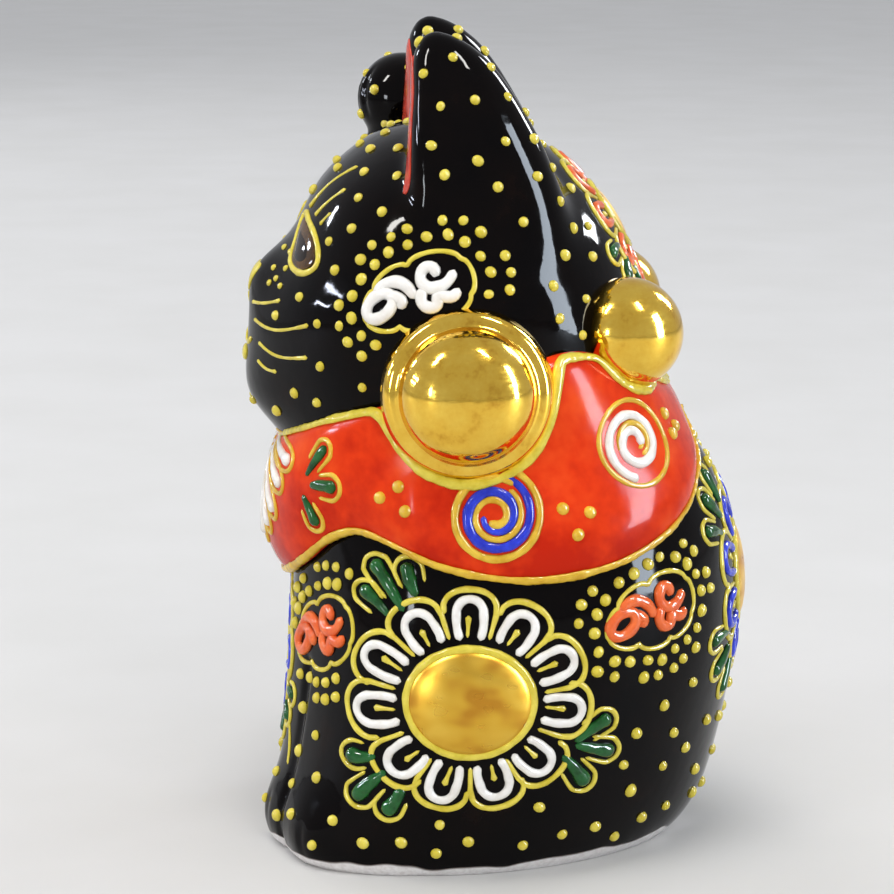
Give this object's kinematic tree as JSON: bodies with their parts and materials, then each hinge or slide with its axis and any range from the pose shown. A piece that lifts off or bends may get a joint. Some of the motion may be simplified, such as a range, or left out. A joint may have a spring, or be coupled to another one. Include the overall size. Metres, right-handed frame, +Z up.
{
  "type": "beckoning cat figurine",
  "caption": "Seated porcelain cat figurine with one foreleg raised, a wide bib, gilt bells and raised enamel decoration, standing on a flat base.",
  "frame": {"origin": "on the flat underside, on the cat's left-right centre plane, a little in front of the middle of the footprint", "axes": "+Z up, through the crown; the cat looks towards -Y; +X is the cat's own left"},
  "size_m": [0.0808, 0.0741, 0.1185],
  "materials": {
    "black_glaze": "deep black gloss glaze over porcelain",
    "red_enamel": "glossy vermilion overglaze enamel",
    "yellow_enamel": "trailed raised enamel, glossy",
    "gilding": "bright gold lustre over glazed porcelain, mirror-like with brush marks"
  },
  "bodies": {
    "root": {"body_casting": "black_glaze", "head_casting": "black_glaze", "left_ear": "black_glaze", "right_ear": "black_glaze", "raised_foreleg": "black_glaze", "bib": "red_enamel", "bib_upper_edging": "yellow_enamel", "bib_lower_edging": "yellow_enamel", "left_side_bell": "gilding", "right_side_bell": "gilding", "left_nape_ball": "gilding", "right_nape_ball": "gilding", "left_flower_disc": "gilding", "right_flower_disc": "gilding", "chest_flower_disc": "gilding", "back_flower_disc": "gilding", "head_flower_disc": "gilding", "left_flower_ring": "yellow_enamel", "right_flower_ring": "yellow_enamel", "chest_flower_ring": "yellow_enamel", "back_flower_ring": "yellow_enamel", "head_flower_ring": "yellow_enamel"}
  },
  "joints": []
}
